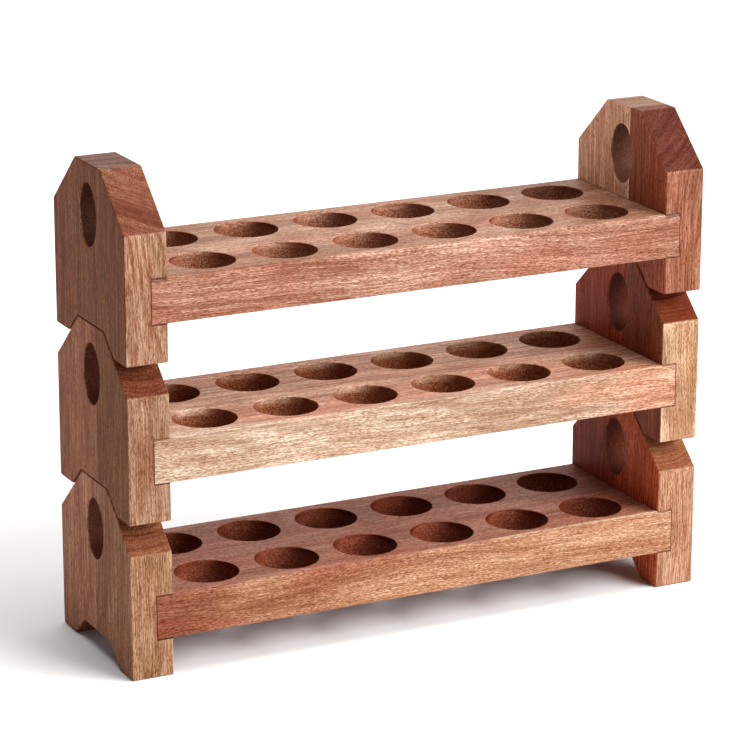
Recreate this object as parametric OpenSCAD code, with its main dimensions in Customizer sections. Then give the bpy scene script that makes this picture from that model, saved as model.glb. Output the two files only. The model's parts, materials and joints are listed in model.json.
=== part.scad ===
// Stackable wooden egg rack: identical trays, shown three high.
// A tray is one board, drilled for two rows of eggs and housed at each end in a
// through dado of an upright end block. An end block is two staves glued edge to edge.
// The notch under each block sits over the sloped shoulders of the block below.
// Millimetres. X runs along the trays, -Y is the front and +Z is up.
// The origin is on the floor, under the middle of the stack.

/* [Tray] */
// Length over the two end blocks
tray_l = 356; // [340:1:400]
// Depth, front to back
tray_d = 101; // [98:1:120]

/* [End blocks] */
// Thickness of an end block
block_t = 24.5; // [20:0.5:30]
// Height of an end block, foot to top flat
block_h = 101; // [95:1:120]
// Depth of the flat on top of a block
top_w = 36; // [30:1:44]
// Height of the two sloped shoulders
slope_h = 29.5; // [26:0.5:32]
// Height of the notch between the two feet
notch_h = 12; // [8:0.5:16]
// Room on each side between a notch and the shoulder in it, measured along Y
notch_gap = 1.5; // [0.5:0.5:2.5]

/* [Finger holes] */
// Width of the oval hole, along Y
finger_w = 24; // [18:1:26]
// Height of the oval hole
finger_h = 35; // [28:1:36]
// Height of its centre above the foot
finger_z = 72.5; // [70:0.5:73]

/* [Glue seams] */
// Seam between the staves of the bottom tray's blocks, along Y from the middle
bottom_seam = 0; // [-10:1:10]
// Seam between the staves of the middle tray's blocks
middle_seam = -7; // [-10:1:10]
// Seam between the staves of the top tray's blocks
top_seam = -9; // [-10:1:10]

/* [Board] */
// Thickness of the drilled board
board_t = 25.5; // [18:0.5:27]
// Height of the board's underside above the feet
board_z = 21.5; // [18:0.5:24]
// How far the board goes into each end block
dado_d = 9.5; // [6:0.5:12]

/* [Egg holes] */
// Diameter of an egg hole
hole_d = 36; // [30:0.5:38]
// Distance between neighbouring holes in a row
hole_pitch = 49; // [44:0.5:50]
// Distance between the two rows
row_pitch = 51; // [44:0.5:53]

/* [Hidden] */

// Tiers, counted from the floor, and the two ends
bottom = 0;
middle = 1;
top = 2;
left = -1;
right = 1;

holes_in_row = 6;
oval_sides = 64;
round_fn = 96;
// How far a cutting solid runs past the faces that it cuts
over = 1;

half_d = tray_d / 2;
half_top = top_w / 2;
shoulder_z = block_h - slope_h;
half_ceiling = half_top + notch_gap;
// The notch's sides are parallel to the shoulders
half_mouth = half_ceiling + notch_h * (half_d - half_top) / slope_h;
// A tray's feet stand this much higher than those of the tray below it
tier_h = block_h - notch_h;
inner_x = tray_l / 2 - block_t;
board_l = 2 * (inner_x + dado_d);

function seam_of(tier) = [bottom_seam, middle_seam, top_seam][tier];

// Side view of an end block, as [y, z]
module block_outline() {
    polygon([
        [-half_d, 0], [-half_mouth, 0], [-half_ceiling, notch_h],
        [half_ceiling, notch_h], [half_mouth, 0], [half_d, 0],
        [half_d, shoulder_z], [half_top, block_h],
        [-half_top, block_h], [-half_d, shoulder_z]
    ]);
}

// Outline of the finger hole, as [y, z]
module finger_oval() {
    translate([0, finger_z])
        polygon([
            for (i = [0 : oval_sides - 1])
                let (a = 360 * i / oval_sides)
                    [finger_w / 2 * cos(a), finger_h / 2 * sin(a)]
        ]);
}

// Extrudes a [y, z] outline along X, from x to x + width
module along_x(x, width) {
    translate([x, 0, 0])
        rotate([90, 0, 90])
            linear_extrude(width) children();
}

// The right-hand end block of a tray that stands on the floor
module right_block() {
    difference() {
        along_x(inner_x, block_t) block_outline();
        along_x(inner_x - over, block_t + 2 * over) finger_oval();
        translate([inner_x - over, -half_d - over, board_z])
            cube([dado_d + over, tray_d + 2 * over, board_t]);
    }
}

// One stave of a block: the part of it between y_from and y_to
module stave(tier, side, y_from, y_to) {
    translate([0, 0, tier * tier_h])
        mirror([side == left ? 1 : 0, 0, 0])
            intersection() {
                right_block();
                translate([inner_x - over, y_from, -over])
                    cube([block_t + 2 * over, y_to - y_from, block_h + 2 * over]);
            }
}

module front_stave(tier, side) {
    stave(tier, side, -half_d - over, seam_of(tier));
}

module back_stave(tier, side) {
    stave(tier, side, seam_of(tier), half_d + over);
}

// The drilled board of one tray
module board(tier) {
    translate([0, 0, tier * tier_h + board_z])
        difference() {
            translate([-board_l / 2, -half_d, 0])
                cube([board_l, tray_d, board_t]);
            for (row = [-1, 1], i = [0 : holes_in_row - 1])
                translate([
                    (i - (holes_in_row - 1) / 2) * hole_pitch,
                    row * row_pitch / 2,
                    -over
                ])
                    cylinder(h = board_t + 2 * over, d = hole_d, $fn = round_fn);
        }
}

module bottom_board() {
    color([0.68, 0.42, 0.28]) board(bottom);
}

module bottom_left_front_stave() {
    color([0.74, 0.52, 0.35]) front_stave(bottom, left);
}

module bottom_left_back_stave() {
    color([0.55, 0.38, 0.28]) back_stave(bottom, left);
}

module bottom_right_front_stave() {
    color([0.72, 0.44, 0.32]) front_stave(bottom, right);
}

module bottom_right_back_stave() {
    color([0.52, 0.31, 0.24]) back_stave(bottom, right);
}

module middle_board() {
    color([0.86, 0.68, 0.52]) board(middle);
}

module middle_left_front_stave() {
    color([0.76, 0.52, 0.38]) front_stave(middle, left);
}

module middle_left_back_stave() {
    color([0.54, 0.34, 0.28]) back_stave(middle, left);
}

module middle_right_front_stave() {
    color([0.78, 0.56, 0.38]) front_stave(middle, right);
}

module middle_right_back_stave() {
    color([0.48, 0.28, 0.22]) back_stave(middle, right);
}

module top_board() {
    color([0.74, 0.44, 0.35]) board(top);
}

module top_left_front_stave() {
    color([0.78, 0.55, 0.42]) front_stave(top, left);
}

module top_left_back_stave() {
    color([0.52, 0.34, 0.28]) back_stave(top, left);
}

module top_right_front_stave() {
    color([0.72, 0.42, 0.33]) front_stave(top, right);
}

module top_right_back_stave() {
    color([0.62, 0.42, 0.33]) back_stave(top, right);
}

bottom_board();
bottom_left_front_stave();
bottom_left_back_stave();
bottom_right_front_stave();
bottom_right_back_stave();
middle_board();
middle_left_front_stave();
middle_left_back_stave();
middle_right_front_stave();
middle_right_back_stave();
top_board();
top_left_front_stave();
top_left_back_stave();
top_right_front_stave();
top_right_back_stave();
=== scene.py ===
"""Looks of a stackable wooden egg rack: three drilled trays that sit on each other.

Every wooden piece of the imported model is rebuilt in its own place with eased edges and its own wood.
Metres, Z up, -Y is the front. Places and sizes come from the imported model, and what it doesn't say
about a block's outline is named below.
"""

import json
import math
import bmesh
import bpy
from mathutils import Matrix, Vector


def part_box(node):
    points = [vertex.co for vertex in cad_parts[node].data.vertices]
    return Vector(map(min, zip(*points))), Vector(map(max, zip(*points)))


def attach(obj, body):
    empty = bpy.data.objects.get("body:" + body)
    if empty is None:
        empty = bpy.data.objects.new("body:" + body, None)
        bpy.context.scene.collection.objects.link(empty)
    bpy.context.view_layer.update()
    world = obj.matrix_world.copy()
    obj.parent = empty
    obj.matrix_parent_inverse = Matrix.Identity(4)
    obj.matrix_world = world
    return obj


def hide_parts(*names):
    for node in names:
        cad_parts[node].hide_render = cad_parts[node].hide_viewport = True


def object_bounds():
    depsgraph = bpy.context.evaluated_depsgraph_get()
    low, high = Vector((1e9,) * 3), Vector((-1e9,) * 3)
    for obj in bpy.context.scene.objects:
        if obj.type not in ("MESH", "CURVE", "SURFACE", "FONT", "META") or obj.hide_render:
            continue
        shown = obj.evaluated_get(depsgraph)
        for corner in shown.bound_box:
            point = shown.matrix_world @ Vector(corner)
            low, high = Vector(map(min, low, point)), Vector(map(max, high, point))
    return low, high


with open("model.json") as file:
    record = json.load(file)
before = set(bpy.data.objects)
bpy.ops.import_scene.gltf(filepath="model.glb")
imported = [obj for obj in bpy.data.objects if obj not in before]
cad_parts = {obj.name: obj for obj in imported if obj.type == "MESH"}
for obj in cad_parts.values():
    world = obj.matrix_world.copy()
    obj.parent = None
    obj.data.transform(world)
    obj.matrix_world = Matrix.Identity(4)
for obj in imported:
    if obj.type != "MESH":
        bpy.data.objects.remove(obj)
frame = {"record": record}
cad_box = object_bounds()

MM = 0.001
TIERS = ("bottom", "middle", "top")
SIDES = ("left", "right")

# Outline of an end block
TOP_FLAT = 36 * MM
SLOPE_H = 29.5 * MM
NOTCH_H = 12 * MM
NOTCH_GAP = 1.5 * MM
FINGER_W = 24 * MM
FINGER_H = 35 * MM
FINGER_Z = 72.5 * MM

# How far each kind of edge is eased
ARRIS = 1.0 * MM
SOFT_ARRIS = 2.3 * MM
RIM = 0.6 * MM
JOINT = 0.35 * MM
SEAM = 0.12 * MM
EASE_STEPS = 3
# Faces within this many eases of a joint or seam belong to it
JOINT_REACH = 1.5

# Edges sharper than this are eased, and edges flatter than this are shaded smooth
SHARP_ANGLE = math.radians(30)
SMOOTH_ANGLE = math.radians(40)

# Steps along a stave's part of the finger hole, and along a quarter of an egg hole
OVAL_STEPS = 40
RING_STEPS = 16
# Points this close count as one, and an oval's points may be this share of its size off it
NEAR = 0.02 * MM
OVAL_NEAR = 0.002
# Keeps evenly spaced points off the ties of rounding
TIE_SHIFT = 0.1


# ---------------------------------------------------------------- shapes

def solid(cells, levels, place):
    """A closed shape made of cells that stand side by side on one plane.

    A cell is (its outline as [(a, b), ...], counter-clockwise, and the number of the level it ends at).
    All cells start at levels[0]. place(a, b, level) gives a point in space.
    """
    bm = bmesh.new()
    made = {}
    reach = {}

    def key(p):
        return round(p[0] / NEAR + TIE_SHIFT), round(p[1] / NEAR + TIE_SHIFT)

    def vert(p, level):
        at = (key(p), level)
        if at not in made:
            made[at] = bm.verts.new(place(p[0], p[1], levels[level]))
        return made[at]

    for outline, top in cells:
        bm.faces.new([vert(p, 0) for p in reversed(outline)])
        bm.faces.new([vert(p, top) for p in outline])
        for a, b in zip(outline, outline[1:] + outline[:1]):
            reach[key(a), key(b)] = (a, b, top)
    for (ka, kb), (a, b, top) in reach.items():
        start = reach[kb, ka][2] if (kb, ka) in reach else 0
        for level in range(start, top):
            bm.faces.new([vert(a, level), vert(b, level), vert(b, level + 1), vert(a, level + 1)])
    bmesh.ops.recalc_face_normals(bm, faces=bm.faces)
    return bm


def finish_piece(name, bm, ease, in_joint, in_bore):
    """Eases the convex edges by ease(a, b) metres, marks the faces and returns the piece's object.

    in_joint(point) and in_bore(point) tell what the material shades as a joint or as a drilled wall.
    """
    weight = bm.edges.layers.float.new("bevel_weight_edge")
    for edge in bm.edges:
        if edge.is_convex and edge.calc_face_angle() > SHARP_ANGLE:
            edge[weight] = ease(edge.verts[0].co, edge.verts[1].co) / SOFT_ARRIS
    mesh = bpy.data.meshes.new(name)
    bm.to_mesh(mesh)
    bm.free()
    # The bevel marks its own faces with the second slot
    mesh.materials.append(None)
    mesh.materials.append(None)
    piece = bpy.data.objects.new(name, mesh)
    bpy.context.scene.collection.objects.link(piece)
    bevel = piece.modifiers.new("eased_edges", "BEVEL")
    bevel.limit_method = "WEIGHT"
    bevel.width = SOFT_ARRIS
    bevel.segments = EASE_STEPS
    bevel.use_clamp_overlap = False
    bevel.material = 1
    apply_modifiers(piece)
    mark_faces(piece.data, in_joint, in_bore)
    piece.modifiers.new("flat_faces", "WEIGHTED_NORMAL").keep_sharp = True
    apply_modifiers(piece)
    return piece


def apply_modifiers(piece):
    """Turns what the modifiers make of the piece into its mesh."""
    graph = bpy.context.evaluated_depsgraph_get()
    made = bpy.data.meshes.new_from_object(piece.evaluated_get(graph))
    piece.modifiers.clear()
    piece.data = made


def mark_faces(mesh, in_joint, in_bore):
    """Smooth faces with sharp corners, and values that the wood reads: worn, joint and bore."""
    bm = bmesh.new()
    bm.from_mesh(mesh)
    worn, joint, bore = (bm.faces.layers.float.new(n) for n in ("worn", "joint", "bore"))
    for face in bm.faces:
        eased = face.material_index == 1
        closes = all(in_joint(v.co) for v in face.verts)
        face[worn] = float(eased and not closes)
        face[joint] = float(eased and closes)
        face[bore] = float(all(in_bore(v.co) for v in face.verts))
        face.smooth = True
        face.material_index = 0
    for edge in bm.edges:
        edge.smooth = edge.calc_face_angle(0) < SMOOTH_ANGLE
    bm.to_mesh(mesh)
    bm.free()


def hole_cells(centre, radius, low, high):
    """Cells between a round hole and the rectangle around it."""
    corners = [(high[0], low[1]), (high[0], high[1]), (low[0], high[1]), (low[0], low[1])]
    rim, hole = [], []
    for side in range(4):
        a, b = corners[side], corners[(side + 1) % 4]
        for step in range(RING_STEPS):
            t = step / RING_STEPS
            turn = math.pi / 2 * (side + t) - math.pi / 4
            rim.append((a[0] + (b[0] - a[0]) * t, a[1] + (b[1] - a[1]) * t))
            hole.append((centre[0] + radius * math.cos(turn), centre[1] + radius * math.sin(turn)))
    count = len(rim)
    return [([hole[i], rim[i], rim[(i + 1) % count], hole[(i + 1) % count]], 1) for i in range(count)]


def strip_cells(x0, x1, y0, y1):
    """Cells of a plain rectangle, as finely split along Y as a hole's rectangle is."""
    ys = [y0 + (y1 - y0) * i / RING_STEPS for i in range(RING_STEPS + 1)]
    return [([(x0, a), (x1, a), (x1, b), (x0, b)], 1) for a, b in zip(ys, ys[1:])]


def board_cells(low, high, inner_x, centres, radius):
    """Cells of a drilled board: its housed ends, the strips beside them, and the egg holes."""
    xs = sorted({round(x, 6) for x, y in centres})
    half_pitch = (xs[1] - xs[0]) / 2
    cells = []
    for x, y in centres:
        y0, y1 = (low.y, 0.0) if y < 0 else (0.0, high.y)
        cells += hole_cells((x, y), radius, (x - half_pitch, y0), (x + half_pitch, y1))
    for y0, y1 in ((low.y, 0.0), (0.0, high.y)):
        for x0, x1 in ((low.x, -inner_x), (-inner_x, xs[0] - half_pitch)):
            cells += strip_cells(x0, x1, y0, y1)
            cells += strip_cells(-x1, -x0, y0, y1)
    return cells


def board_rules(low, inner_x, centres, radius, soft):
    """ease, in_joint and in_bore of a board, as finish_piece takes them."""
    def on_hole(p):
        return any(abs(math.hypot(p.x - x, p.y - y) - radius) < NEAR for x, y in centres)

    def ease(a, b):
        if on_hole(a) and on_hole(b):
            return RIM
        if min(abs(a.x), abs(b.x)) > inner_x - NEAR:
            return JOINT
        front_top = a.y < 0 and a.z > low.z + NEAR
        return soft if front_top else ARRIS

    def in_joint(p):
        return abs(p.x) > inner_x - JOINT

    def in_bore(p):
        return any(math.hypot(p.x - x, p.y - y) < radius + RIM for x, y in centres)

    return ease, in_joint, in_bore


def board(tier):
    """A drilled board, with eased holes and long edges."""
    low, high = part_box(f"{tier}_board")
    inner_x = -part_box(f"{tier}_left_front_stave")[1].x
    bores = [m for m in frame["record"]["mounts"] if m["name"].startswith(tier) and m["kind"] == "bore"]
    radius = bores[0]["dims"]["r_mm"] * MM
    centres = [m["pos_m"][:2] for m in bores]
    cells = board_cells(low, high, inner_x, centres, radius)
    bm = solid(cells, (low.z, high.z), lambda a, b, c: (a, b, c))
    soft = SOFT_ARRIS if tier == "top" else ARRIS
    return finish_piece(f"{tier}_drilled_board", bm, *board_rules(low, inner_x, centres, radius, soft))


def block_outline(seam, half_d, height, dado_low, dado_high):
    """Cells of a stave's side view, as (y, z), from the front at -half_d back to the seam."""
    half_ceiling = TOP_FLAT / 2 + NOTCH_GAP
    half_mouth = half_ceiling + NOTCH_H * (half_d - TOP_FLAT / 2) / SLOPE_H
    turn = math.acos(seam / (FINGER_W / 2))
    oval = []
    for i in range(OVAL_STEPS + 1):
        a = -turn - (2 * math.pi - 2 * turn) * i / OVAL_STEPS
        oval.append((FINGER_W / 2 * math.cos(a), FINGER_Z + FINGER_H / 2 * math.sin(a)))
    foot = [(-half_d, 0.0), (-half_mouth, 0.0), (-half_ceiling, NOTCH_H), (seam, NOTCH_H),
            (seam, dado_low), (-half_d, dado_low)]
    band = [(-half_d, dado_low), (seam, dado_low), (seam, dado_high), (-half_d, dado_high)]
    head = [(-half_d, dado_high), (seam, dado_high), *oval, (seam, height), (-TOP_FLAT / 2, height),
            (-half_d, height - SLOPE_H)]
    return [(foot, 2), (band, 1), (head, 2)]


def hole_reach(p, foot_z, grow=0.0):
    """0 on the finger hole's axis, 1 on its wall moved out by grow, and more outside it."""
    return math.hypot(p.y / (FINGER_W / 2 + grow), (p.z - foot_z - FINGER_Z) / (FINGER_H / 2 + grow))


def stave_rules(foot_z, seam, dado_x, inner_x, board_zs):
    """ease, in_joint and in_bore of a stave, as finish_piece takes them."""
    def off_seam(p):
        return abs(p.y - seam)

    def off_dado_floor(p):
        return abs(p.x - dado_x)

    def off_dado_side(p):
        return min(abs(p.z - z) for z in board_zs)

    def off_finger_hole(p):
        return abs(hole_reach(p, foot_z) - 1)

    def ease(a, b):
        if max(off_seam(a), off_seam(b)) < NEAR:
            return SEAM
        if max(off_finger_hole(a), off_finger_hole(b)) < OVAL_NEAR:
            return RIM
        if max(off_dado_side(a), off_dado_side(b)) < NEAR:
            return JOINT
        if max(off_dado_floor(a), off_dado_floor(b)) < NEAR:
            return JOINT
        return ARRIS

    def in_joint(p):
        reach = JOINT_REACH * JOINT
        past_floor = (p.x - dado_x) * math.copysign(1, inner_x - dado_x) > -reach
        at_board = past_floor and min(off_dado_side(p), off_dado_floor(p)) < reach
        return at_board or off_seam(p) < JOINT_REACH * SEAM

    def in_bore(p):
        return hole_reach(p, foot_z, RIM) < 1

    return ease, in_joint, in_bore


def stave(tier, side, place):
    """The front or the back half of an end block, up to the glue seam."""
    low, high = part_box(f"{tier}_{side}_{place}_stave")
    board_low, board_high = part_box(f"{tier}_board")
    seam, half_d, flip = (high.y, -low.y, 1) if place == "front" else (low.y, high.y, -1)
    outer_x, inner_x = (low.x, high.x) if side == "left" else (high.x, low.x)
    dado_x = board_low.x if side == "left" else board_high.x
    cells = block_outline(flip * seam, half_d, high.z - low.z, board_low.z - low.z, board_high.z - low.z)
    bm = solid(cells, (outer_x, dado_x, inner_x), lambda a, b, c: (c, flip * a, low.z + b))
    rules = stave_rules(low.z, seam, dado_x, inner_x, (board_low.z, board_high.z))
    return finish_piece(f"{tier}_{side}_{place}_block_stave", bm, *rules)


# ---------------------------------------------------------------- wood

# Darker parts of the wood are redder: how strongly a shade acts on red, green and blue
SHADE_POWERS = (1.0, 1.6, 2.0)

# The part of a noise's 0 to 1 that each pattern is drawn with. A narrow one gives hard edges.
BAND_SPAN = (0.32, 0.68)
STREAK_SPAN = (0.3, 0.7)
BLUSH_SPAN = (0.42, 0.68)
FLECK_SPAN = (0.32, 0.68)
DASH_SPAN = (0.35, 0.65)
MOTTLE_SPAN = (0.3, 0.7)
LINE_SPAN = (0.54, 0.64)
PORE_SPAN = (0.52, 0.6)
TORN_SPAN = (0.4, 0.62)
ROUGH_SPAN = (0.3, 0.7)

# How far a face has turned, as its normal's part along the fibres, upwards or to a side, when it
# starts to count as end grain, as level or as a side, and when it fully does
END_TURN = (0.3, 0.75)
LEVEL_TURN = (0.85, 0.97)
SIDE_TURN = (0.4, 0.9)

# Millimetres between two seeds along the fibres, and how far the fibres drift
SEED_STEP = 531.0
DRIFT = 12.0

# Where the dark, the middle and the light tone of a wood lie between 0 and 1
TONE_STOPS = (0.1, 0.5, 0.9)
# The pale wood's darkest and lightest shade
PALE_SHADES = (0.82, 1.12)
# Millimetres that the mottle and the blush shift the pale wood's edge
PALE_MOTTLE = 36.0
PALE_BLUSH = 40.0

# Shades of growth lines and pores, of glue lines, and of eased edges
LINE_SHADE = 0.5
GLUE_SHADE = 0.3
EDGE_LIGHTENING = 1.25
# How strongly an eased edge's shade shows, and how much stronger growth lines are on end grain
EDGE_LIGHT_SHARE = 0.3
END_LINES = 0.35
# How much of a drilled wall's colour is the plain middle tone, and how much more its torn fibres
# lighten it than darken it
BORE_PLAIN = 0.6
TORN_LIGHTER = 1.3

# Relief of the pores, and how deep the flecks are beside it
RELIEF = 0.12 * MM
RELIEF_STRENGTH = 0.4
FLECK_RELIEF = 0.4
# What flecks change in the roughness, and what pores, and end grain and holes, add to it
FLECK_ROUGH = (-0.04, 0.06)
PORE_ROUGH = 0.12
DULL_ROUGH = 0.1


class Shader:
    """Adds nodes to one material and links them."""

    def __init__(self, name):
        self.material = bpy.data.materials.new(name)
        self.material.use_nodes = True
        self.tree = self.material.node_tree
        self.tree.nodes.clear()

    def node(self, kind, inputs, **settings):
        made = self.tree.nodes.new(kind)
        for setting, value in settings.items():
            setattr(made, setting, value)
        for socket, value in inputs.items():
            if isinstance(value, bpy.types.NodeSocket):
                self.tree.links.new(value, made.inputs[socket])
            else:
                made.inputs[socket].default_value = value
        return made

    def math(self, operation, a, b=0.0, c=0.0):
        return self.node("ShaderNodeMath", {0: a, 1: b, 2: c}, operation=operation).outputs[0]

    def vector(self, operation, a, b):
        return self.node("ShaderNodeVectorMath", {0: a, 1: b}, operation=operation).outputs[0]

    def pack(self, x, y, z):
        return self.node("ShaderNodeCombineXYZ", {0: x, 1: y, 2: z}).outputs[0]

    def split(self, vector):
        return self.node("ShaderNodeSeparateXYZ", {0: vector}).outputs

    def noise(self, at, detail=2.0):
        return self.node("ShaderNodeTexNoise", {"Vector": at, "Scale": 1.0, "Detail": detail})

    def span(self, value, low, high, out_low=0.0, out_high=1.0):
        """value from low..high to out_low..out_high, with soft ends."""
        made = self.node("ShaderNodeMapRange", {0: value, 1: low, 2: high, 3: out_low, 4: out_high},
                         interpolation_type="SMOOTHSTEP")
        return made.outputs[0]

    def mix(self, share, a, b):
        made = self.node("ShaderNodeMix", {0: share, 6: a, 7: b}, data_type="RGBA")
        return made.outputs[2]

    def times(self, colour, by):
        made = self.node("ShaderNodeMix", {0: 1.0, 6: colour, 7: by}, data_type="RGBA",
                         blend_type="MULTIPLY")
        return made.outputs[2]

    def shaded(self, colour, shade):
        """The colour made lighter or darker, and redder where it is darker."""
        return self.times(colour, self.pack(*(self.math("POWER", shade, p) for p in SHADE_POWERS)))

    def ramp(self, value, positions, colours):
        made = self.node("ShaderNodeValToRGB", {0: value})
        elements = made.color_ramp.elements
        while len(elements) < len(positions):
            elements.new(0.5)
        for element, position, colour in zip(elements, positions, colours):
            element.position = position
            element.color = (*colour, 1.0)
        return made.outputs[0]


class Place:
    """Where a point lies in its piece and which way its face looks, as nodes.

    Millimetres from the piece's middle: length along the fibres, v and w across them. depth is counted
    from the two faces that a hole opens on, behind from the front, and u is a length of its own for
    every seed.
    """

    def __init__(self, s, low, high, grain, style):
        self.s = s
        coord = s.node("ShaderNodeTexCoord", {})
        local = s.vector("SUBTRACT", coord.outputs["Object"], (low + high) / 2)
        x, y, z = s.split(s.vector("MULTIPLY", local, (1 / MM,) * 3))
        nx, ny, nz = s.split(coord.outputs["Normal"])
        half = (high - low) / MM / 2
        flat = grain == "x"
        through, half_thick = (z, half.z) if flat else (x, half.x)
        self.length, self.v, self.w = (x, z, y) if flat else (z, y, x)
        self.along = nx if flat else nz
        self.up = nz
        self.inward = s.math("MULTIPLY", nx, 1.0 if high.x < 0 else -1.0)
        self.depth = s.math("SUBTRACT", half_thick, s.math("ABSOLUTE", through))
        self.behind = s.math("ADD", y, half.y)
        self.u = s.math("ADD", self.length, style["seed"] * SEED_STEP)
        self.bend(style)

    def bend(self, style):
        """Lets the fibres lean, drift slowly and wave a little."""
        drift = self.s.split(self.stretched(long=120.0, wide=50.0)[1])
        wave = self.s.split(self.stretched(long=8.0, wide=5.0)[1])
        self.v = self.bent(self.v, style["lean"][0], drift[0], wave[0], style["wave"])
        self.w = self.bent(self.w, style["lean"][1], drift[1], wave[1], style["wave"])

    def bent(self, across, lean, drift, wave, wave_height):
        across = self.s.math("MULTIPLY_ADD", self.length, lean, across)
        across = self.s.math("MULTIPLY_ADD", drift, DRIFT, across)
        return self.s.math("MULTIPLY_ADD", wave, wave_height, across)

    def stretched(self, long, wide, detail=1.0):
        """Noise drawn out along the fibres: its patches are about long by wide millimetres."""
        u = self.s.math("DIVIDE", self.u, long)
        v = self.s.math("DIVIDE", self.v, wide)
        w = self.s.math("DIVIDE", self.w, wide)
        return self.s.noise(self.s.pack(u, v, w), detail).outputs


def ring_noise(s, at, style, wide, long, third=0.0, detail=1.0):
    """Noise in growth bands round the heart of the tree, about wide across and long along the fibres.

    third is the noise's third place, which tells two patterns apart or varies one across its bands.
    """
    dv = s.math("SUBTRACT", at.v, style["heart"][0])
    dw = s.math("SUBTRACT", at.w, style["heart"][1])
    ring = s.math("SQRT", s.math("MULTIPLY_ADD", dv, dv, s.math("MULTIPLY", dw, dw)))
    point = s.pack(s.math("DIVIDE", ring, wide), s.math("DIVIDE", at.u, long), third)
    return s.noise(point, detail).outputs[0]


def figure_of(s, at, style):
    """The noises that one piece's figure is drawn with."""
    pore = at.stretched(long=2.5, wide=0.48)[0]
    fine_third = s.math("DIVIDE", at.v, 8.0)
    return {
        "broad": ring_noise(s, at, style, wide=style["band"], long=150.0),
        "line": ring_noise(s, at, style, wide=3.6, long=130.0, third=5.0),
        "fine": ring_noise(s, at, style, wide=1.1, long=45.0, third=fine_third, detail=2.0),
        "fleck": at.stretched(long=style["fibre"], wide=0.5)[0],
        "dash": at.stretched(long=2.2, wide=0.42)[0],
        "pores": s.math("MULTIPLY", s.span(pore, *PORE_SPAN), style["pores"]),
        "mottle": at.stretched(long=45.0, wide=4.0, detail=2.0)[0],
        "blush": at.stretched(long=70.0, wide=26.0)[0],
        "torn": at.stretched(long=1.1, wide=0.8)[0],
    }


def ground_colour(s, at, style, figure):
    """The wood before its fibres: growth bands, redder blushes, and pale wood along the front."""
    fine = s.math("MULTIPLY", s.span(figure["fine"], *STREAK_SPAN), style["streak"])
    tone = s.math("MULTIPLY_ADD", s.span(figure["broad"], *BAND_SPAN), 1 - style["streak"], fine)
    colour = s.ramp(tone, TONE_STOPS, (style["dark"], style["mid"], style["light"]))
    blushed = s.times(colour, (*style["blush"], 1.0))
    colour = s.mix(s.span(figure["blush"], *BLUSH_SPAN), colour, blushed)
    if style["pale"]:
        shades = [shade_of(style["pale"], shade) for shade in PALE_SHADES]
        pale = s.ramp(tone, (TONE_STOPS[0], TONE_STOPS[-1]), shades)
        colour = s.mix(pale_share(s, at, style, figure), colour, pale)
    return colour


def pale_share(s, at, style, figure):
    """How pale the wood is: 1 towards the front and 0 towards the back, with an uneven edge."""
    edge = s.math("MULTIPLY_ADD", figure["mottle"], PALE_MOTTLE, at.w)
    edge = s.math("MULTIPLY_ADD", figure["blush"], PALE_BLUSH, edge)
    edge = s.math("MULTIPLY_ADD", at.length, style["pale_slope"], edge)
    edge = s.math("MULTIPLY_ADD", at.behind, style["pale_fall"], edge)
    return s.span(edge, style["pale_from"], style["pale_from"] + style["pale_blur"], 1.0, 0.0)


def draw_fibres(s, style, figure, end, colour):
    """Long flecks and short dashes, light and dark, dark growth lines, and pores."""
    fleck = s.span(figure["fleck"], *FLECK_SPAN, 1 - style["fleck"], 1 + style["fleck"])
    dash = s.span(figure["dash"], *DASH_SPAN, 1 - style["dash"], 1 + style["dash"])
    mottle = s.span(figure["mottle"], *MOTTLE_SPAN, 1 - style["mottle"], 1 + style["mottle"])
    colour = s.shaded(colour, s.math("MULTIPLY", s.math("MULTIPLY", fleck, dash), mottle))
    strength = s.math("MULTIPLY_ADD", end, END_LINES, style["lines"])
    lines = s.math("MULTIPLY", s.span(figure["line"], *LINE_SPAN), strength)
    return s.mix(s.math("MAXIMUM", lines, figure["pores"]), colour, s.shaded(colour, LINE_SHADE))


def paint_light_by_facing(s, at, style, end, colour):
    """Painted light by the way a face looks: end grain darker, partly its own colour and partly painted
    shade, level tops with a painted sheen, and the sides towards and away from the eggs painted lighter or
    darker as the lamps fall on them.
    """
    up = s.span(at.up, *LEVEL_TURN)
    tint = s.mix(up, (*style["end"], 1.0), (*style["flat"], 1.0))
    colour = s.mix(s.math("MAXIMUM", end, up), colour, s.times(colour, tint))
    # Sides towards and away from the eggs: painted light and painted shade
    for side, sign in (("inner", 1.0), ("outer", -1.0)):
        share = s.span(s.math("MULTIPLY", at.inward, sign), *SIDE_TURN)
        colour = s.mix(share, colour, s.times(colour, (*style[side], 1.0)))
    return colour


def marked(s, mark, most):
    """most on the faces that mark_faces gave this mark, and 0 elsewhere."""
    return s.math("MULTIPLY", s.node("ShaderNodeAttribute", {}, attribute_name=mark).outputs["Fac"], most)


def show_work_and_hole_shade(s, style, figure, drilled_and_shaded, colour):
    """Hole walls get painted shade, deepening inwards, with some real darkening and torn fibres from
    drilling; eased edges are made lighter, and glue lines dark.
    """
    plain = s.mix(BORE_PLAIN, colour, (*style["mid"], 1.0))
    torn = s.span(figure["torn"], *TORN_SPAN, 1 - style["torn"], 1 + TORN_LIGHTER * style["torn"])
    # Painted shade on the hole walls, partly the real darkening of drilled wood
    drilled = s.times(s.shaded(plain, torn), (*style["bore"], 1.0))
    colour = s.mix(drilled_and_shaded, colour, drilled)
    colour = s.mix(marked(s, "worn", EDGE_LIGHT_SHARE), colour, s.shaded(colour, EDGE_LIGHTENING))
    return s.mix(marked(s, "joint", style["joint"]), colour, s.shaded(colour, GLUE_SHADE))


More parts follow.
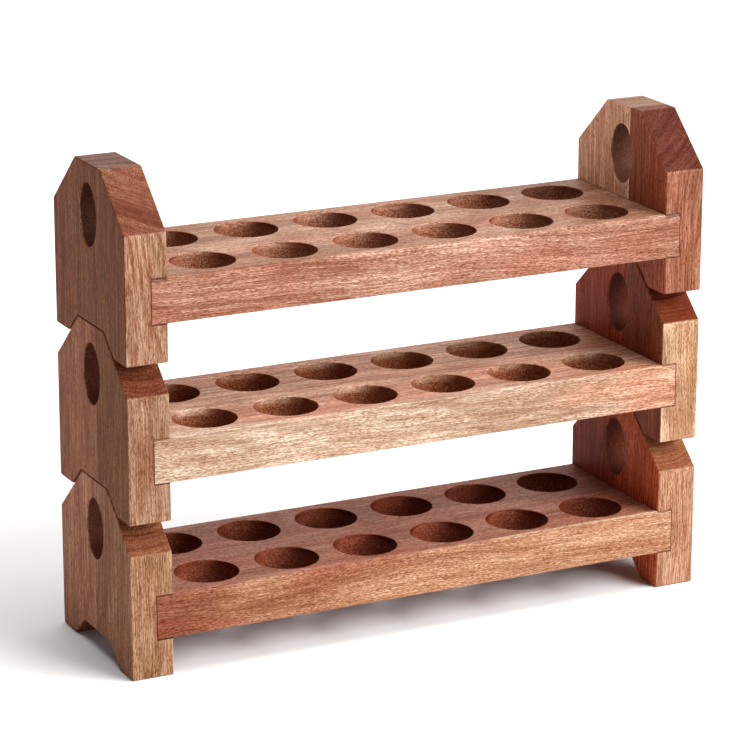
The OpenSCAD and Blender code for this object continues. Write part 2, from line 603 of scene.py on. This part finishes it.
def satin_finish(s, style, figure, end, drilled_and_shaded, colour):
    """Wood under a thin satin coat, duller in its pores, at its ends and in its holes."""
    rough = s.span(figure["fleck"], *ROUGH_SPAN, *(style["rough"] + change for change in FLECK_ROUGH))
    rough = s.math("MULTIPLY_ADD", figure["pores"], PORE_ROUGH, rough)
    rough = s.math("MULTIPLY_ADD", s.math("MAXIMUM", end, drilled_and_shaded), DULL_ROUGH, rough)
    height = s.math("SUBTRACT", s.math("MULTIPLY", figure["fleck"], FLECK_RELIEF), figure["pores"])
    height = s.math("MULTIPLY", height, s.math("SUBTRACT", 1.0, drilled_and_shaded))
    relief = {"Height": height, "Strength": RELIEF_STRENGTH, "Distance": RELIEF}
    bump = s.node("ShaderNodeBump", relief)
    inputs = {"Base Color": colour, "Roughness": rough, "Normal": bump.outputs[0]}
    surface = s.node("ShaderNodeBsdfPrincipled", inputs)
    surface.inputs["Specular IOR Level"].default_value = style["gloss"]
    s.node("ShaderNodeOutputMaterial", {0: surface.outputs[0]})


def wood(name, low, high, grain, style):
    """One piece's own wood, in the box low..high. grain is the way its fibres run, "x" or "z"."""
    s = Shader(name)
    at = Place(s, low, high, grain, style)
    figure = figure_of(s, at, style)
    end = s.span(s.math("ABSOLUTE", at.along), *END_TURN)
    # Painted shade in the holes: the walls darken from each opening inwards, and the same share makes them
    # rougher and flat
    drilled_and_shaded = s.math("MULTIPLY", marked(s, "bore", 1.0), s.span(at.depth, 0.0, style["bore_depth"]))
    colour = ground_colour(s, at, style, figure)
    colour = draw_fibres(s, style, figure, end, colour)
    # Painted light, shade and sheen, by the way each face looks
    colour = paint_light_by_facing(s, at, style, end, colour)
    colour = show_work_and_hole_shade(s, style, figure, drilled_and_shaded, colour)
    satin_finish(s, style, figure, end, drilled_and_shaded, colour)
    return s.material


def shade_of(colour, shade):
    """What Shader.shaded makes of a plain colour."""
    return tuple(c * shade ** power for c, power in zip(colour, SHADE_POWERS))


def around(colour, spread=0.22):
    """The light, middle and dark tone of a wood, from its middle one."""
    return dict(light=shade_of(colour, 1 + spread), mid=colour, dark=shade_of(colour, 1 - spread))


def look(colour, seed, **changes):
    """The wood of one piece. Colours and tints are linear, lengths in millimetres.

    heart: where the tree's heart lies across the fibres, and lean: how far the fibres lean per length
    band: width of the growth bands, and streak: the share that fine streaks have in the tone
    fibre: length of the flecks, and wave: height of the fibres' small waves
    fleck, dash, mottle, pores, lines: how strongly each shows
    blush: tint of the redder patches
    pale: colour of the pale wood at the front, which ends at pale_from over pale_blur, moves by
    pale_slope per length, and fades faster by pale_fall on faces that run back
    end, flat, outer, inner: tints of end grain, partly painted shade, of level tops, a painted sheen, and
    painted light and shade on sides away from and towards the eggs
    bore: tint of holes from bore_depth inwards, painted shade with some real darkening from drilling, and
    torn: how strongly their torn fibres show
    joint: how dark glue lines are, rough and gloss: the coat's roughness and specular level
    """
    made = dict(around(colour), seed=seed, heart=(35.0, 5.0), lean=(0.02, 0.01), band=9.0, streak=0.7,
                fibre=45.0, fleck=0.28, dash=0.05, mottle=0.08, pores=0.75, lines=0.3, wave=0.5,
                blush=(1.03, 0.95, 0.92), pale=None, pale_from=0.0, pale_blur=12.0, pale_slope=0.0,
                pale_fall=0.0, end=(0.62, 0.42, 0.34), flat=(0.62, 0.53, 0.5), outer=(0.8, 0.7, 0.6),
                inner=(0.8, 0.7, 0.6), bore=(0.4, 0.28, 0.24), bore_depth=1.5, torn=0.15, joint=0.8,
                rough=0.48, gloss=0.06)
    made.update(changes)
    return made


def board_look(colour, seed, **changes):
    """The wood of a board, whose face is glossier than a block's."""
    made = look(colour, seed, streak=0.5, fibre=30.0, dash=0.22, mottle=0.1, lines=0.4, wave=0.6,
                blush=(1.04, 0.9, 0.86), flat=(1.0, 1.0, 1.0), bore=(0.66, 0.5, 0.41),
                bore_depth=6.0, torn=0.3, joint=0.6, rough=0.5, gloss=0.1)
    made.update(changes)
    return made


# Each piece's hole, side and level-top tints, and in part its end-grain tint, paint in the shade, light
# and sheen that the studio lamps give it
LOOKS = {
    "top_board": board_look((0.394, 0.198, 0.128), 1, heart=(-60.0, 0.0), lean=(0.035, 0.0),
                            flat=(0.83, 0.84, 0.76), blush=(0.95, 0.76, 0.74), lines=0.5, fleck=0.22),
    "middle_board": board_look((0.506, 0.299, 0.195), 2, heart=(40.0, 60.0), pale=(0.52, 0.37, 0.26),
                               pale_from=-8.0, pale_slope=0.05, flat=(1.01, 0.89, 0.86), mottle=0.12,
                               bore=(0.40, 0.19, 0.11), fleck=0.2, dash=0.12),
    "bottom_board": board_look((0.206, 0.053, 0.026), 3, heart=(-50.0, 30.0), pale=(0.44, 0.22, 0.12),
                               pale_from=-12.0, pale_slope=-0.12, flat=(1.60, 2.45, 3.00), pale_blur=30.0,
                               pale_fall=9.0, bore=(0.85, 0.75, 0.70), fleck=0.18, dash=0.25, lines=0.3),
    "top_left_front_stave": look((0.33, 0.173, 0.102), 4, heart=(60.0, 26.0), end=(0.58, 0.40, 0.37),
                                 flat=(0.49, 0.47, 0.53), outer=(0.64, 0.38, 0.19),
                                 bore=(0.24, 0.15, 0.12)),
    "middle_left_front_stave": look((0.316, 0.168, 0.101), 5, end=(0.55, 0.29, 0.20),
                                    outer=(0.66, 0.42, 0.18), bore=(0.28, 0.18, 0.15)),
    "bottom_left_front_stave": look((0.292, 0.147, 0.076), 6, end=(0.74, 0.50, 0.42),
                                    outer=(1.08, 0.93, 0.85), bore=(0.36, 0.25, 0.20)),
    "top_right_front_stave": look((0.273, 0.11, 0.063), 7, heart=(60.0, -24.0), end=(0.40, 0.27, 0.29),
                                  inner=(1.35, 0.83, 0.64), joint=0.4, bore=(0.36, 0.25, 0.21)),
    "middle_right_front_stave": look((0.455, 0.283, 0.165), 8, end=(0.34, 0.11, 0.06),
                                     inner=(0.54, 0.21, 0.14), fleck=0.2, joint=0.4,
                                     bore=(0.32, 0.20, 0.16)),
    "bottom_right_front_stave": look((0.391, 0.191, 0.112), 9, end=(0.74, 0.52, 0.39),
                                     inner=(1.25, 0.50, 0.32), joint=0.4, bore=(0.40, 0.22, 0.15)),
    "top_left_back_stave": look((0.3, 0.145, 0.088), 10, flat=(0.49, 0.47, 0.53), outer=(0.75, 0.46, 0.23),
                                bore=(0.24, 0.15, 0.12)),
    "middle_left_back_stave": look((0.36, 0.16, 0.105), 11, outer=(0.95, 0.74, 0.51),
                                   bore=(0.28, 0.18, 0.15)),
    "bottom_left_back_stave": look((0.36, 0.16, 0.105), 12, outer=(1.17, 1.06, 0.84),
                                   bore=(0.36, 0.25, 0.20)),
    "top_right_back_stave": look((0.56, 0.31, 0.2), 13, flat=(0.50, 0.52, 0.54), inner=(1.50, 1.50, 1.50),
                                 joint=0.4, fleck=0.16, lines=0.1, mottle=0.05, bore=(0.26, 0.18, 0.15)),
    "middle_right_back_stave": look((0.28, 0.1, 0.065), 14, inner=(1.45, 0.72, 0.38), joint=0.4,
                                    bore=(0.36, 0.22, 0.17)),
    "bottom_right_back_stave": look((0.28, 0.1, 0.065), 15, inner=(1.10, 0.50, 0.29), joint=0.4,
                                    bore=(0.42, 0.25, 0.17)),
}


# ---------------------------------------------------------------- pieces


def put(piece, node, body, grain):
    """Gives the piece its wood, and lets it stand for its CAD node."""
    low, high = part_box(node)
    piece.data.materials.clear()
    piece.data.materials.append(wood(f"{node}_wood", low, high, grain, LOOKS[node]))
    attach(piece, body)
    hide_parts(node)


for tier in TIERS:
    put(board(tier), f"{tier}_board", f"{tier}_tray", "x")
    for side in SIDES:
        for place in ("front", "back"):
            put(stave(tier, side, place), f"{tier}_{side}_{place}_stave", f"{tier}_tray", "z")


# ---------------------------------------------------------------- studio

FLOOR_SIZE = 40.0
FLOOR_TONES = ((0.90, 0.90, 0.90, 1.0), (0.92, 0.92, 0.92, 1.0))
# Patches of the floor's tones in a metre
FLOOR_PATCHES = 3.0
# Angles in degrees, the distance in metres, and the lens and its sensor in millimetres
CAMERA_AZIMUTH = -26.617
CAMERA_ELEVATION = 16.748
CAMERA_ROLL = 0.106
CAMERA_DISTANCE = 1.9056
CAMERA_LENS = 160.755
CAMERA_SENSOR = 36.0
# The point looked at, from the middle of the stack
CAMERA_AIM = Vector((-3.0, 5.2, -3.4)) * MM


def direction(azimuth, elevation):
    """Unit vector away from the stack; azimuth 0 is the front and grows towards +X."""
    a, e = math.radians(azimuth), math.radians(elevation)
    return Vector((math.sin(a) * math.cos(e), -math.cos(a) * math.cos(e), math.sin(e)))


def make_floor():
    """A wide pale floor under the stack."""
    mesh = bpy.data.meshes.new("floor")
    h = FLOOR_SIZE / 2
    mesh.from_pydata([(-h, -h, 0), (h, -h, 0), (h, h, 0), (-h, h, 0)], [], [(0, 1, 2, 3)])
    floor = bpy.data.objects.new("floor", mesh)
    bpy.context.scene.collection.objects.link(floor)
    floor.location.z = cad_box[0].z
    s = Shader("pale_floor")
    place = s.node("ShaderNodeTexCoord", {}).outputs["Object"]
    patches = s.noise(s.vector("MULTIPLY", place, (FLOOR_PATCHES,) * 3))
    tint = s.mix(patches.outputs[0], *FLOOR_TONES)
    surface = s.node("ShaderNodeBsdfPrincipled", {"Base Color": tint})
    surface.inputs["Roughness"].default_value = 0.9
    surface.inputs["Specular IOR Level"].default_value = 0.0
    s.node("ShaderNodeOutputMaterial", {0: surface.outputs[0]})
    mesh.materials.append(s.material)


def add_light(name, kind, aim, toward, distance, **settings):
    """A lamp that the camera doesn't see, at a distance from aim and looking at it."""
    light = bpy.data.lights.new(name, kind)
    for setting, value in settings.items():
        setattr(light, setting, value)
    lamp = bpy.data.objects.new(name, light)
    bpy.context.scene.collection.objects.link(lamp)
    lamp.location = aim + toward * distance
    lamp.rotation_mode = "QUATERNION"
    lamp.rotation_quaternion = toward.to_track_quat("Z", "Y")
    lamp.visible_camera = False


def light_studio(aim):
    """Soft suns from the right front and from above, and lamps above, to the right and behind."""
    add_light("key", "SUN", aim, direction(40, 28), distance=3, energy=3.8, angle=math.radians(45))
    add_light("sky", "SUN", aim, direction(0, 89), distance=3, energy=1.6, angle=math.radians(40))
    add_light("top", "AREA", aim, direction(0, 86), distance=0.75, energy=1.4,
              shape="RECTANGLE", size=0.36, size_y=0.5)
    add_light("side", "AREA", aim, direction(55, 30), distance=1.3, energy=6,
              shape="RECTANGLE", size=0.7, size_y=0.7)
    add_light("back", "AREA", aim, direction(153.4, 24), distance=1.3, energy=7,
              shape="RECTANGLE", size=1.6, size_y=0.6)
    world = bpy.data.worlds.new("studio")
    world.use_nodes = True
    sky = world.node_tree.nodes["Background"]
    sky.inputs["Color"].default_value = (1.0, 1.0, 1.0, 1.0)
    sky.inputs["Strength"].default_value = 0.08
    bpy.context.scene.world = world
    bpy.context.scene.view_settings.view_transform = "Standard"


def make_camera(aim):
    """A camera with a long lens, to the left of the front and a little above the stack."""
    data = bpy.data.cameras.new("camera")
    data.lens = CAMERA_LENS
    data.sensor_width = CAMERA_SENSOR
    camera = bpy.data.objects.new("camera", data)
    bpy.context.scene.collection.objects.link(camera)
    back = direction(CAMERA_AZIMUTH, CAMERA_ELEVATION)
    camera.location = aim + CAMERA_AIM + back * CAMERA_DISTANCE
    camera.rotation_mode = "QUATERNION"
    roll = Matrix.Rotation(math.radians(CAMERA_ROLL), 3, "Z").to_quaternion()
    camera.rotation_quaternion = back.to_track_quat("Z", "Y") @ roll
    bpy.context.scene.camera = camera


middle = (cad_box[0] + cad_box[1]) / 2
make_floor()
light_studio(middle)
make_camera(middle)
